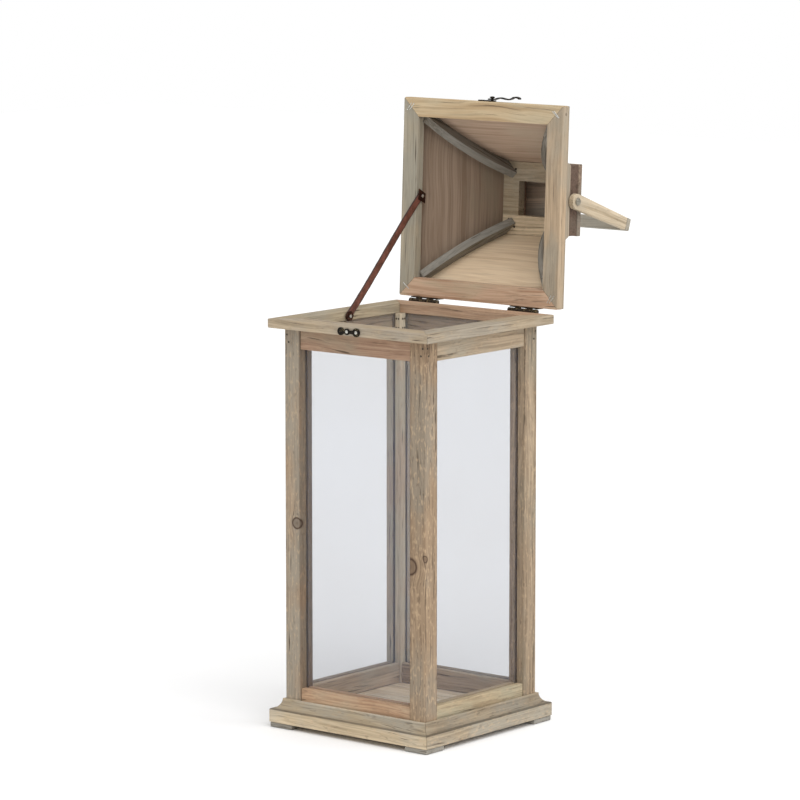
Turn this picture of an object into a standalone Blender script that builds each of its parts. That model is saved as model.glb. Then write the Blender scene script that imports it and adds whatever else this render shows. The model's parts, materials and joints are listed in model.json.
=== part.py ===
"""Wooden hanging lantern with four panes and a hinged pagoda roof, stored with the roof open.

Metres, +Z up. The front, with the latch, faces -Y and the hinges are at +Y. The origin is on the
surface the feet stand on, in the middle of the space that the open lantern takes up.
"""

import math

import bmesh
import bpy
from mathutils import Matrix, Vector

# Clearances
GAP = 0.0003                  # between pieces that touch
MITRE_GAP = 0.0002            # each side of a mitre, measured along the strip

# Placing
BODY_CENTRE_Y = -0.10386      # the body's axis, so that the open lantern is centred on the origin

# Base
FOOT_SIZE = 0.0280
FOOT_HEIGHT = 0.0047
FOOT_OUTER = 0.1014
BASE_BOTTOM = 0.0050
FASCIA_OUTER = 0.1021
FASCIA_TOP = 0.0178
COVE_OUTER = 0.1013
COVE_INNER = 0.0924
COVE_BOTTOM = 0.0186
COVE_TOP = 0.0287
COVE_STEPS = 6
MOULDING_INNER = 0.0903
LEDGE_INNER = 0.0840
LEDGE_TOP = 0.0147
FLOOR_HALF = 0.0897
FLOOR_BOTTOM = 0.0150
FLOOR_TOP = 0.0200

# Posts, rails and glass
POST_OUTER = 0.0900
POST_INNER = 0.0705
POST_BOTTOM = 0.0203
POST_TOP = 0.4065
GROOVE_INNER = 0.0780
GROOVE_OUTER = 0.0810
GROOVE_DEPTH = 0.0050
RAIL_OUTER = 0.0885
RAIL_INNER = 0.0720
RAIL_LENGTH = 0.1404
BOTTOM_RAIL_TOP = 0.0410
TOP_RAIL_INNER = 0.0813
TOP_RAIL_BOTTOM = 0.3860
GLASS_INNER = 0.0785
GLASS_OUTER = 0.0805
GLASS_HALF_WIDTH = 0.0750
GLASS_BOTTOM = 0.0370
GLASS_TOP = 0.4060

# Rim on the posts, and the lid's frame
RIM_OUTER = 0.1025
RIM_INNER = 0.0775
RIM_BOTTOM = 0.4068
RIM_TOP = 0.4160
LID_INNER = 0.0830
LID_FRAME_TOP = 0.0096        # above the lid's underside
CORNER_RADIUS = 0.0020

# Hinge
AXIS_BEHIND_RIM = 0.0040
AXIS_ABOVE_RIM = 0.0003
LID_ANGLE = math.radians(92.4)
HINGE_X = (-0.0690, 0.0595)   # set a little to the left of symmetric
HINGE_LENGTH = 0.0370
KNUCKLES = 5
KNUCKLE_RADIUS = 0.0024
PIN_RADIUS = 0.0010
PIN_HOLE_RADIUS = 0.0013
LEAF_THICKNESS = 0.0010
LEAF_HEIGHT = 0.0082

# Roof: a hollow curve, the same on all four sides, steeper towards the top
ROOF_RADIUS = 0.1790
ROOF_CENTRE_S = 0.2085
ROOF_CENTRE_N = 0.1549
ROOF_THICKNESS = 0.0036
ROOF_BOTTOM = 0.0099
ROOF_TOP = 0.1040
ROOF_EDGE = 0.1020
ROOF_STEPS = 12

# Hip ribs: the inner edge is an arc in the diagonal plane
RIB_THICKNESS = 0.0080
RIB_ARC_RADIUS = 0.1864
RIB_ARC_CENTRE = (0.1988, 0.1737)
RIB_TOE_DEPTH = 0.0080
RIB_TOE_OUTER = 0.1120
RIB_TOP = 0.0882
RIB_STEPS = 9

# Neck, cap and handle
NECK_BOTTOM = 0.0885
NECK_TOP = 0.0985
NECK_HOLE = 0.0179
BOX_OUTER = 0.0366
BOX_INNER = 0.0300
BOX_BOTTOM = 0.1043
BOX_TOP = 0.1172
CAP_HALF = 0.0373
CAP_BOTTOM = 0.1175
CAP_TOP = 0.1235
ARM_INNER_X = 0.0388
ARM_OUTER_X = 0.0448
ARM_LENGTH = 0.0910
ARM_END_RADIUS = 0.0082
ARM_TIP_HALF = 0.0065
PIVOT_A = 0.1020              # from the lid's back edge
PIVOT_N = 0.1069              # above the lid's underside
HANDLE_LEAN = math.radians(16.6)
GRIP_THICKNESS = 0.0065
GRIP_HALF = 0.0066
SCREW_RADIUS = 0.0016
SCREW_HOLE_RADIUS = 0.0019
SCREW_HEAD_RADIUS = 0.0042
SCREW_HEAD_HEIGHT = 0.0020
SCREW_DEPTH = 0.0050

# Stay
STRAP_WIDTH = 0.0090
STRAP_THICKNESS = 0.0015
STRAP_LOW = (-0.0064, 0.4113)  # y and z of the screw on the rim
STRAP_HIGH = (0.1038, 0.0054)  # from the lid's back edge, above its underside
STRAP_STEPS = 16
PLATE_THICKNESS = 0.0010

# Latch
LATCH_PIVOT_X = 0.0086
LATCH_PLATE_N = 0.0048
LATCH_PROUD = 0.0013
CATCH_X = (-0.0056, 0.0022, 0.0140)
CATCH_Z = 0.4112
CATCH_PROUD = 0.0016

SIDES = ("front", "right", "back", "left")
CORNERS = ("front_left", "front_right", "back_right", "back_left")

for old in list(bpy.data.objects):
    bpy.data.objects.remove(old, do_unlink=True)


def material(name, colour, roughness, metallic=0.0):
    """A Principled material from an sRGB hex colour."""
    made = bpy.data.materials.new(name)
    made.use_nodes = True
    values = []
    for start in (0, 2, 4):
        c = int(colour[start:start + 2], 16) / 255
        values.append(c / 12.92 if c <= 0.04045 else ((c + 0.055) / 1.055) ** 2.4)
    shader = made.node_tree.nodes["Principled BSDF"]
    shader.inputs["Base Color"].default_value = (*values, 1.0)
    shader.inputs["Roughness"].default_value = roughness
    shader.inputs["Metallic"].default_value = metallic
    return made


WOOD = {
    "foot": ("8E8778", 0.85), "base_moulding": ("A8977A", 0.75), "floor_board": ("A59172", 0.75),
    "post": ("A58D6C", 0.75), "bottom_rail": ("B8835A", 0.72), "top_rail": ("A98A66", 0.75),
    "rim": ("AFA088", 0.78), "lid_frame": ("C0A078", 0.72), "roof_panel": ("8B6F50", 0.8),
    "hip_rib": ("6E6350", 0.85), "neck_frame": ("A08E70", 0.8), "cap_box": ("5A3B28", 0.85),
    "cap_plate": ("8E8778", 0.85), "handle": ("A39373", 0.78),
}
METAL = ("3A2E20", 0.45)


def wood(kind, name):
    colour, roughness = WOOD[kind]
    return material(name + "_wood", colour, roughness)


def metal(name):
    return material(name + "_bronze", METAL[0], METAL[1], 0.9)


def add(name, bm, mat, parent=None, place=(0, 0, 0), turn_z=0.0, smooth=None):
    """Makes an object of a mesh, with its faces turned outwards."""
    bmesh.ops.remove_doubles(bm, verts=bm.verts, dist=1e-6)
    bmesh.ops.recalc_face_normals(bm, faces=bm.faces)
    mesh = bpy.data.meshes.new(name)
    bm.to_mesh(mesh)
    bm.free()
    if smooth:
        mesh.shade_smooth()
        mesh.set_sharp_from_angle(angle=math.radians(smooth))
    mesh.materials.append(mat)
    made = bpy.data.objects.new(name, mesh)
    bpy.context.scene.collection.objects.link(made)
    made.parent = parent
    made.location = place
    made.rotation_euler = (0, 0, turn_z)
    return made


def empty(name, place, turn_x=0.0, parent=None):
    made = bpy.data.objects.new(name, None)
    bpy.context.scene.collection.objects.link(made)
    made.location = place
    made.rotation_euler = (turn_x, 0, 0)
    made.parent = parent
    return made


def extrude(outline, direction):
    """A solid from a closed outline of points, pushed along a direction."""
    bm = bmesh.new()
    face = bm.faces.new([bm.verts.new(point) for point in outline])
    grown = bmesh.ops.extrude_face_region(bm, geom=[face])
    moved = [item for item in grown["geom"] if isinstance(item, bmesh.types.BMVert)]
    bmesh.ops.translate(bm, verts=moved, vec=Vector(direction))
    return bm


def box(low, high):
    (x0, y0, z0), (x1, y1, z1) = low, high
    outline = [(x0, y0, z0), (x1, y0, z0), (x1, y1, z0), (x0, y1, z0)]
    return extrude(outline, (0, 0, z1 - z0))


def cylinder(centre, radius, half_length, axis="X", sides=16):
    bm = bmesh.new()
    bmesh.ops.create_cone(
        bm, cap_ends=True, segments=sides, radius1=radius, radius2=radius, depth=2 * half_length)
    turns = {"X": Matrix.Rotation(math.pi / 2, 4, "Y"), "Y": Matrix.Rotation(math.pi / 2, 4, "X"),
             "Z": Matrix.Identity(4)}
    bmesh.ops.transform(bm, matrix=Matrix.Translation(centre) @ turns[axis], verts=bm.verts)
    return bm


def soften(bm, width, keep=lambda edge: True, angle=35, segments=1):
    """Takes the sharpness off the edges that turn by more than an angle."""
    sharp = [
        edge for edge in bm.edges
        if len(edge.link_faces) == 2 and keep(edge)
        and edge.calc_face_angle(0.0) > math.radians(angle)]
    bmesh.ops.bevel(bm, geom=sharp, offset=width, segments=segments, affect="EDGES", profile=0.5,
                    clamp_overlap=True)
    return bm


def cut(target, bm):
    """Cuts a tool's shape out of an object with an exact Boolean."""
    combine(target, bm, "DIFFERENCE")


def join(target, bm):
    """Adds a tool's shape to an object, so that the two are one solid."""
    combine(target, bm, "UNION")


def combine(target, bm, operation):
    bmesh.ops.recalc_face_normals(bm, faces=bm.faces)
    tool_name = target.name + "_tool_" + str(len(target.modifiers))
    mesh = bpy.data.meshes.new(tool_name)
    bm.to_mesh(mesh)
    bm.free()
    tool = bpy.data.objects.new(tool_name, mesh)
    bpy.context.scene.collection.objects.link(tool)
    tool.parent = target.parent
    tool.location = target.location
    tool.rotation_euler = target.rotation_euler
    tool.hide_render = True
    tool.display_type = "WIRE"
    step = target.modifiers.new(operation.title(), "BOOLEAN")
    step.operation = operation
    step.solver = "EXACT"
    step.object = tool


def on_mitre(edge):
    """True for an edge that lies in one of the two mitred ends of a strip."""
    return all(abs(abs(v.co.x) + MITRE_GAP - abs(v.co.y)) < 1e-5 for v in edge.verts)


def mitred_strip(profile):
    """One side of a four-sided frame: a profile of (distance out, height) cut at 45 degrees."""
    bm = bmesh.new()
    ends = []
    for side in (-1, 1):
        ends.append([bm.verts.new((side * (s - MITRE_GAP), -s, z)) for s, z in profile])
    count = len(profile)
    for i in range(count):
        j = (i + 1) % count
        bm.faces.new((ends[0][i], ends[0][j], ends[1][j], ends[1][i]))
    bm.faces.new(ends[0])
    bm.faces.new(ends[1])
    bmesh.ops.recalc_face_normals(bm, faces=bm.faces)
    return bm


def frame_board(inner, outer, low, high):
    """One mitred board of a flat frame, with its share of the rounded outer corners."""
    right = []
    for step in range(4):
        turn = math.radians(45 * step / 3)
        x = outer - CORNER_RADIUS * (1 - math.sin(turn))
        y = outer - CORNER_RADIUS * (1 - math.cos(turn))
        right.append((min(x, y - MITRE_GAP), -y, low))
    left = [(-x, y, z) for x, y, z in reversed(right)]
    outline = [(-(inner - MITRE_GAP), -inner, low), *left, *right, (inner - MITRE_GAP, -inner, low)]
    bm = extrude(outline, (0, 0, high - low))
    bmesh.ops.recalc_face_normals(bm, faces=bm.faces)
    return soften(bm, 0.0009, lambda edge: not on_mitre(edge) and abs(
        edge.verts[0].co.z - edge.verts[1].co.z) < 1e-6, 60, 2)


def roof_s(n, thickness=0.0):
    """How far the roof's face is from the middle at a height, at a depth below the outside."""
    radius = ROOF_RADIUS + thickness
    return ROOF_CENTRE_S - math.sqrt(radius ** 2 - (ROOF_CENTRE_N - n) ** 2)


def roof_points(low, high, thickness, steps):
    """Points up the roof's curve, evenly spaced along it."""
    radius = ROOF_RADIUS + thickness
    first = math.acos((ROOF_CENTRE_N - low) / radius)
    last = math.acos((ROOF_CENTRE_N - high) / radius)
    points = []
    for i in range(steps + 1):
        turn = first + (last - first) * i / steps
        points.append((ROOF_CENTRE_S - radius * math.sin(turn),
                       ROOF_CENTRE_N - radius * math.cos(turn)))
    return points


body = empty("body_axis", (0, BODY_CENTRE_Y, 0))
hinge_place = (0, BODY_CENTRE_Y + RIM_OUTER + AXIS_BEHIND_RIM, RIM_TOP + AXIS_ABOVE_RIM)
lid_axis = empty("lid_axis", hinge_place, -LID_ANGLE)

# The lid is drawn closed: its middle at x = y = 0 and its underside at z = 0
lid = empty("lid_frame_of_reference", (0, -RIM_OUTER - AXIS_BEHIND_RIM, GAP), parent=lid_axis)


# ---------------------------------------------------------------- base
cove = []
for step in range(COVE_STEPS + 1):
    turn = math.radians(90 * step / COVE_STEPS)
    cove.append((COVE_OUTER - (COVE_OUTER - COVE_INNER) * math.sin(turn),
                 COVE_TOP - (COVE_TOP - COVE_BOTTOM) * math.cos(turn)))
moulding = [
    (LEDGE_INNER, BASE_BOTTOM), (FASCIA_OUTER, BASE_BOTTOM), (FASCIA_OUTER, FASCIA_TOP),
    *cove, (MOULDING_INNER, COVE_TOP), (MOULDING_INNER, LEDGE_TOP), (LEDGE_INNER, LEDGE_TOP)]

for k, side in enumerate(SIDES):
    strip = mitred_strip(moulding)
    soften(strip, 0.0007, lambda edge: not on_mitre(edge), 50, 1)
    add("base_moulding_" + side, strip, wood("base_moulding", "base_moulding_" + side), body,
        turn_z=k * math.pi / 2, smooth=30)

for k, corner in enumerate(CORNERS):
    foot = box((-FOOT_OUTER, -FOOT_OUTER, 0),
               (-FOOT_OUTER + FOOT_SIZE, -FOOT_OUTER + FOOT_SIZE, FOOT_HEIGHT))
    add("foot_" + corner, soften(foot, 0.0005), wood("foot", "foot_" + corner), body,
        turn_z=k * math.pi / 2)

floor = box((-FLOOR_HALF, -FLOOR_HALF, FLOOR_BOTTOM), (FLOOR_HALF, FLOOR_HALF, FLOOR_TOP))
add("floor_board", soften(floor, 0.0005), wood("floor_board", "floor_board"), body)


# ---------------------------------------------------------------- posts, rails and glass
def post_mesh():
    """The front left post: square, with a groove in each face that meets a pane."""
    o, i = -POST_OUTER, -POST_INNER
    g0, g1, d = -GROOVE_OUTER, -GROOVE_INNER, -POST_INNER - GROOVE_DEPTH
    plan = [(o, o), (i, o), (i, g0), (d, g0), (d, g1), (i, g1), (i, i),
            (g1, i), (g1, d), (g0, d), (g0, i), (o, i)]
    bm = extrude([(x, y, POST_BOTTOM) for x, y in plan], (0, 0, POST_TOP - POST_BOTTOM))

    def outer_corner(edge):
        a, b = (v.co for v in edge.verts)
        upright = abs(a.z - b.z) > 0.1
        return upright and sum(abs(abs(c) - POST_OUTER) < 1e-5 or abs(abs(c) - POST_INNER) < 1e-5
                               for c in (a.x, a.y)) == 2
    return soften(bm, 0.0010, outer_corner, 35, 2)


for k, corner in enumerate(CORNERS):
    add("post_" + corner, post_mesh(), wood("post", "post_" + corner), body,
        turn_z=k * math.pi / 2)

half = RAIL_LENGTH / 2
bottom_rail = [
    (RAIL_OUTER, POST_BOTTOM), (RAIL_OUTER, BOTTOM_RAIL_TOP), (GROOVE_OUTER, BOTTOM_RAIL_TOP),
    (GROOVE_OUTER, BOTTOM_RAIL_TOP - 0.0045), (GROOVE_INNER, BOTTOM_RAIL_TOP - 0.0045),
    (GROOVE_INNER, BOTTOM_RAIL_TOP), (RAIL_INNER, BOTTOM_RAIL_TOP), (RAIL_INNER, POST_BOTTOM)]


def along_x(edge):
    return abs(edge.verts[0].co.x - edge.verts[1].co.x) > 0.05


for k, side in enumerate(SIDES):
    turn = k * math.pi / 2
    rail = extrude([(-half, -s, z) for s, z in bottom_rail], (RAIL_LENGTH, 0, 0))
    add("bottom_rail_" + side, soften(rail, 0.0006, along_x),
        wood("bottom_rail", "bottom_rail_" + side), body, turn_z=turn)
    rail = box((-half, -RAIL_OUTER, TOP_RAIL_BOTTOM), (half, -TOP_RAIL_INNER, POST_TOP))
    add("top_rail_" + side, soften(rail, 0.0006, along_x),
        wood("top_rail", "top_rail_" + side), body, turn_z=turn)
    pane = box((-GLASS_HALF_WIDTH, -GLASS_OUTER, GLASS_BOTTOM),
               (GLASS_HALF_WIDTH, -GLASS_INNER, GLASS_TOP))
    add("glass_" + side, pane, material("glass_" + side, "E4E9EC", 0.05), body, turn_z=turn)
    board = frame_board(RIM_INNER, RIM_OUTER, RIM_BOTTOM, RIM_TOP)
    add("rim_" + side, board, wood("rim", "rim_" + side), body, turn_z=turn, smooth=50)
    board = frame_board(LID_INNER, RIM_OUTER, 0.0, LID_FRAME_TOP)
    add("lid_frame_" + side, board, wood("lid_frame", "lid_frame_" + side), lid, turn_z=turn,
        smooth=50)


# ---------------------------------------------------------------- hinges
def leaf_mesh(centre_x, down):
    """A hinge leaf on the back of its board. down is -1 below the axis and 1 above it."""
    y0 = RIM_OUTER + GAP
    far = 0.0006 if down < 0 else GAP + 0.0006
    z0 = RIM_TOP - far if down < 0 else far
    z1 = z0 + down * LEAF_HEIGHT
    bm = box((centre_x - HINGE_LENGTH / 2, y0, min(z0, z1)),
             (centre_x + HINGE_LENGTH / 2, y0 + LEAF_THICKNESS, max(z0, z1)))
    return soften(bm, 0.0002)


def knuckles(leaf, centre_x, axis_y, axis_z, down, wanted):
    """Joins a leaf's knuckles and the webs that carry them."""
    pitch = HINGE_LENGTH / KNUCKLES
    for i in wanted:
        x = centre_x + (i - (KNUCKLES - 1) / 2) * pitch
        half_knuckle = pitch / 2 - GAP / 2
        web_low = min(down * 0.0005, down * 0.0019) + axis_z
        join(leaf, box((x - half_knuckle, RIM_OUTER + GAP + LEAF_THICKNESS / 2, web_low),
                       (x + half_knuckle, axis_y, web_low + 0.0014)))
        join(leaf, cylinder((x, axis_y, axis_z), KNUCKLE_RADIUS, half_knuckle, sides=14))


axis_y = RIM_OUTER + AXIS_BEHIND_RIM
for side, x in zip(("left", "right"), HINGE_X):
    name = "rim_hinge_leaf_" + side
    leaf = add(name, leaf_mesh(x, -1), metal(name), body)
    knuckles(leaf, x, axis_y, RIM_TOP + AXIS_ABOVE_RIM, -1, (0, 2, 4))
    join(leaf, cylinder((x, axis_y, RIM_TOP + AXIS_ABOVE_RIM), PIN_RADIUS,
                        HINGE_LENGTH / 2 - GAP, sides=12))
    name = "lid_hinge_leaf_" + side
    leaf = add(name, leaf_mesh(x, 1), metal(name), lid)
    knuckles(leaf, x, axis_y, -GAP, 1, (1, 3))
    cut(leaf, cylinder((x, axis_y, -GAP), PIN_HOLE_RADIUS, HINGE_LENGTH, sides=12))


# ---------------------------------------------------------------- roof
inside = roof_points(ROOF_BOTTOM, ROOF_TOP, ROOF_THICKNESS, ROOF_STEPS)
edge_n = ROOF_CENTRE_N - math.sqrt(ROOF_RADIUS ** 2 - (ROOF_CENTRE_S - ROOF_EDGE) ** 2)
outside = roof_points(edge_n, ROOF_TOP, 0.0, ROOF_STEPS)
roof = [(ROOF_EDGE, ROOF_BOTTOM), *outside, *reversed(inside)]
for k, side in enumerate(SIDES):
    add("roof_panel_" + side, mitred_strip(roof), wood("roof_panel", "roof_panel_" + side), lid,
        turn_z=k * math.pi / 2, smooth=30)


def rib_outline():
    """The rib in its diagonal plane, as (distance out, height): inner edge up, outer edge down."""
    cx, cn = RIB_ARC_CENTRE
    inner = []
    for i in range(RIB_STEPS + 1):
        n = RIB_TOE_DEPTH + (RIB_TOP - RIB_TOE_DEPTH) * i / RIB_STEPS
        inner.append((cx - math.sqrt(RIB_ARC_RADIUS ** 2 - (cn - n) ** 2), n))
    outer = []
    back_off = RIB_THICKNESS / 2 + 0.0005
    for i in range(RIB_STEPS + 1):
        n = RIB_TOP + (ROOF_BOTTOM + GAP - RIB_TOP) * i / RIB_STEPS
        outer.append((math.sqrt(2) * roof_s(n, ROOF_THICKNESS) - back_off, n))
    toe = [(RIB_TOE_OUTER, ROOF_BOTTOM + GAP), (RIB_TOE_OUTER, RIB_TOE_DEPTH)]
    return inner + outer + toe


for k, corner in enumerate(CORNERS):
    rib = extrude([(d, -RIB_THICKNESS / 2, n) for d, n in rib_outline()], (0, RIB_THICKNESS, 0))
    add("hip_rib_" + corner, rib, wood("hip_rib", "hip_rib_" + corner), lid,
        turn_z=math.radians(225) + k * math.pi / 2, smooth=30)


# ---------------------------------------------------------------- neck and cap
def ring(low, high, hole):
    """A square ring whose outside may lean in: (half, z) below and above."""
    bm = bmesh.new()
    loops = []
    for half_side, z in (low, high, (hole, high[1]), (hole, low[1])):
        loops.append([bm.verts.new((x * half_side, y * half_side, z))
                      for x, y in ((-1, -1), (1, -1), (1, 1), (-1, 1))])
    for a in range(4):
        for i in range(4):
            j = (i + 1) % 4
            b = (a + 1) % 4
            bm.faces.new((loops[a][i], loops[a][j], loops[b][j], loops[b][i]))
    return bm


neck_low = roof_s(NECK_BOTTOM, ROOF_THICKNESS) - 0.0005
neck_high = roof_s(NECK_TOP, ROOF_THICKNESS) - 0.0005
add("neck_frame", ring((neck_low, NECK_BOTTOM), (neck_high, NECK_TOP), NECK_HOLE),
    wood("neck_frame", "neck_frame"), lid)
cap_box = add("cap_box", ring((BOX_OUTER, BOX_BOTTOM), (BOX_OUTER, BOX_TOP), BOX_INNER),
              wood("cap_box", "cap_box"), lid)
cap = box((-CAP_HALF, -CAP_HALF, CAP_BOTTOM), (CAP_HALF, CAP_HALF, CAP_TOP))
add("cap_plate", soften(cap, 0.0008, segments=2), wood("cap_plate", "cap_plate"), lid)


# ---------------------------------------------------------------- handle
pivot_y = RIM_OUTER - PIVOT_A
handle = empty("handle_axis", (0, pivot_y, PIVOT_N), -HANDLE_LEAN, parent=lid)


def arm_mesh(x):
    """An arm in the plane across the axis: round at the pivot, narrower at the grip."""
    outline = []
    for i in range(13):
        turn = math.pi + math.pi * i / 12
        outline.append((x, ARM_END_RADIUS * math.cos(turn), ARM_END_RADIUS * math.sin(turn)))
    outline.append((x, ARM_TIP_HALF, ARM_LENGTH))
    outline.append((x, -ARM_TIP_HALF, ARM_LENGTH))
    bm = extrude(outline, (ARM_OUTER_X - ARM_INNER_X, 0, 0))
    return soften(bm, 0.0008, lambda edge: abs(
        edge.verts[0].co.x - edge.verts[1].co.x) < 1e-6, 60, 2)


for side, sign in (("left", -1), ("right", 1)):
    low = ARM_INNER_X if sign > 0 else -ARM_OUTER_X
    name = "handle_arm_" + side
    arm = add(name, arm_mesh(low), wood("handle", name), handle, smooth=40)
    cut(arm, cylinder((sign * (ARM_INNER_X + ARM_OUTER_X) / 2, 0, 0), SCREW_HOLE_RADIUS, 0.01,
                      sides=16))
    name = "handle_screw_" + side
    shank_end = BOX_OUTER - SCREW_DEPTH
    shank_half = (ARM_OUTER_X + 0.0010 - shank_end) / 2
    screw = add(name, cylinder((sign * (shank_end + shank_half), pivot_y, PIVOT_N), SCREW_RADIUS,
                               shank_half, sides=16), metal(name), lid, smooth=40)
    profile = []
    for i in range(5):
        turn = math.radians(90 * i / 4)
        profile.append((SCREW_HEAD_RADIUS * math.cos(turn), SCREW_HEAD_HEIGHT * math.sin(turn)))
    head = bmesh.new()
    rings = []
    for r, h in [(SCREW_HEAD_RADIUS, -GAP / 3), *profile[:-1]]:
        rings.append([head.verts.new((sign * (ARM_OUTER_X + GAP + GAP / 3 + h),
                                      pivot_y + r * math.cos(math.radians(22.5 * j)),
                                      PIVOT_N + r * math.sin(math.radians(22.5 * j))))
                      for j in range(16)])
    for lower, upper in zip(rings, rings[1:]):
        for j in range(16):
            head.faces.new((lower[j], lower[(j + 1) % 16], upper[(j + 1) % 16], upper[j]))
    head.faces.new(rings[0])
    head.faces.new(rings[-1])
    join(screw, head)
    cut(cap_box, cylinder((sign * (BOX_OUTER - SCREW_DEPTH / 2 + 0.0005), pivot_y, PIVOT_N),
                          SCREW_HOLE_RADIUS, SCREW_DEPTH / 2 + 0.0009, sides=16))

grip = box((-ARM_OUTER_X, -GRIP_HALF, ARM_LENGTH + GAP),
           (ARM_OUTER_X, GRIP_HALF, ARM_LENGTH + GAP + GRIP_THICKNESS))
add("handle_grip", soften(grip, 0.0010, segments=2), wood("handle", "handle_grip"), handle)


# ---------------------------------------------------------------- stay
# Its ends lie against the rim and the lid's frame, so it eases sideways on the way up.
def lid_to_body(x, a, n):
    """A point of the open lid, in the body's own frame."""
    dy = -AXIS_BEHIND_RIM - a
    dz = AXIS_ABOVE_RIM + n
    c, s = math.cos(LID_ANGLE), math.sin(LID_ANGLE)
    return Vector((x, RIM_OUTER + AXIS_BEHIND_RIM + dy * c + dz * s,
                   RIM_TOP + AXIS_ABOVE_RIM - dy * s + dz * c))


low_x = -RIM_INNER + GAP + STRAP_THICKNESS / 2
high_x = -LID_INNER + GAP + STRAP_THICKNESS / 2
low_end = Vector((low_x, *STRAP_LOW))
high_end = lid_to_body(high_x, *STRAP_HIGH)
run = Vector((0, high_end.y - low_end.y, high_end.z - low_end.z))
along = run.normalized()
across = Vector((0, -along.z, along.y))
overhang = 0.0042


def ease(t):
    t = min(1.0, max(0.0, (t - 0.05) / 0.90))
    return t * t * (3 - 2 * t)


def strap_mesh():
    bm = bmesh.new()
    rings = []
    length = run.length
    for i in range(STRAP_STEPS + 1):
        distance = -overhang + (length + 2 * overhang) * i / STRAP_STEPS
        x = low_x + (high_x - low_x) * ease(distance / length)
        middle = Vector((x, low_end.y, low_end.z)) + along * distance
        half_width = STRAP_WIDTH / 2 * (0.72 if i in (0, STRAP_STEPS) else 1.0)
        corners = []
        for w, t in ((-1, -1), (1, -1), (1, 1), (-1, 1)):
            offset = across * (w * half_width) + Vector((t * STRAP_THICKNESS / 2, 0, 0))
            corners.append(bm.verts.new(middle + offset))
        rings.append(corners)
    for a, b in zip(rings, rings[1:]):
        for i in range(4):
            j = (i + 1) % 4
            bm.faces.new((a[i], a[j], b[j], b[i]))
    bm.faces.new(rings[0])
    bm.faces.new(rings[-1])
    return bm


strap = add("strap", strap_mesh(), material("strap_leather", "6B2A22", 0.7), body)
for end in (low_end, high_end):
    cut(strap, cylinder(end, 0.0016, 0.004, sides=12))


def plate_with_screw(name, outline, place, parent):
    """A thin plate lying against a face that looks to +X, with a screw through the strap."""
    x, y, z = place
    x += STRAP_THICKNESS / 2 + GAP
    bm = extrude([(x, y + dy, z + dz) for dy, dz in outline], (PLATE_THICKNESS, 0, 0))
    soften(bm, 0.0002)
    plate = add(name, bm, metal(name), parent)
    shank = STRAP_THICKNESS + GAP + PLATE_THICKNESS / 2
    join(plate, cylinder((x + PLATE_THICKNESS / 2 - shank / 2, y, z), 0.0012, shank / 2, sides=12))
    head = bmesh.new()
    bmesh.ops.create_uvsphere(head, u_segments=12, v_segments=8, radius=0.0024)
    shift = Matrix.Translation((x + PLATE_THICKNESS - 0.0001, y, z))
    flatten = Matrix.Diagonal((0.5, 1, 1, 1))
    bmesh.ops.transform(head, matrix=shift @ flatten @ Matrix.Rotation(math.pi / 2, 4, "Y"),
                        verts=head.verts)
    join(plate, head)
    return plate


hexagon = [(0.0062 * math.cos(math.radians(60 * i)), 0.0056 * math.sin(math.radians(60 * i)))
           for i in range(6)]
plate_with_screw("strap_plate_rim", hexagon, low_end, body)
kite = [(-0.0078, -0.0044), (-0.0022, 0.0062), (0.0080, 0.0056), (0.0034, -0.0050)]
lid_place = (high_x, RIM_OUTER - STRAP_HIGH[0], STRAP_HIGH[1])
plate_with_screw("strap_plate_lid", kite, lid_place, lid)


# ---------------------------------------------------------------- latch
def lobe_outline(lobes, steps=8):
    """A row of round lobes joined by waists, as an outline of (x, z). lobes: (x, radius)."""
    top = []
    waist = math.radians(25)
    for k, (x, radius) in enumerate(lobes):
        first = math.pi if k == 0 else math.pi - waist
        last = 0.0 if k == len(lobes) - 1 else waist
        for i in range(steps + 1):
            turn = first + (last - first) * i / steps
            top.append((x + radius * math.cos(turn), radius * math.sin(turn)))
    return top + [(x, -z) for x, z in reversed(top) if abs(z) > 1e-6]


face_y = -RIM_OUTER
plate_lobes = [(-0.0052, 0.0036), (0.0016, 0.0030), (LATCH_PIVOT_X, 0.0042)]
plate_y = face_y - GAP
bm = extrude([(x, plate_y, LATCH_PLATE_N + z) for x, z in lobe_outline(plate_lobes)],
             (0, -LATCH_PROUD + GAP, 0))
latch = add("latch_plate", bm, metal("latch_plate"), lid, smooth=35)
join(latch, cylinder((LATCH_PIVOT_X, face_y - 0.0022, LATCH_PLATE_N), 0.0013, 0.0017, "Y", 14))
dome = bmesh.new()
bmesh.ops.create_uvsphere(dome, u_segments=14, v_segments=8, radius=0.0027)
bmesh.ops.transform(dome, matrix=Matrix.Translation((
    LATCH_PIVOT_X, face_y - 0.0043, LATCH_PLATE_N)) @ Matrix.Diagonal((1, 0.42, 1, 1))
    @ Matrix.Rotation(math.pi / 2, 4, "X"), verts=dome.verts)
join(latch, dome)

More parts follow.
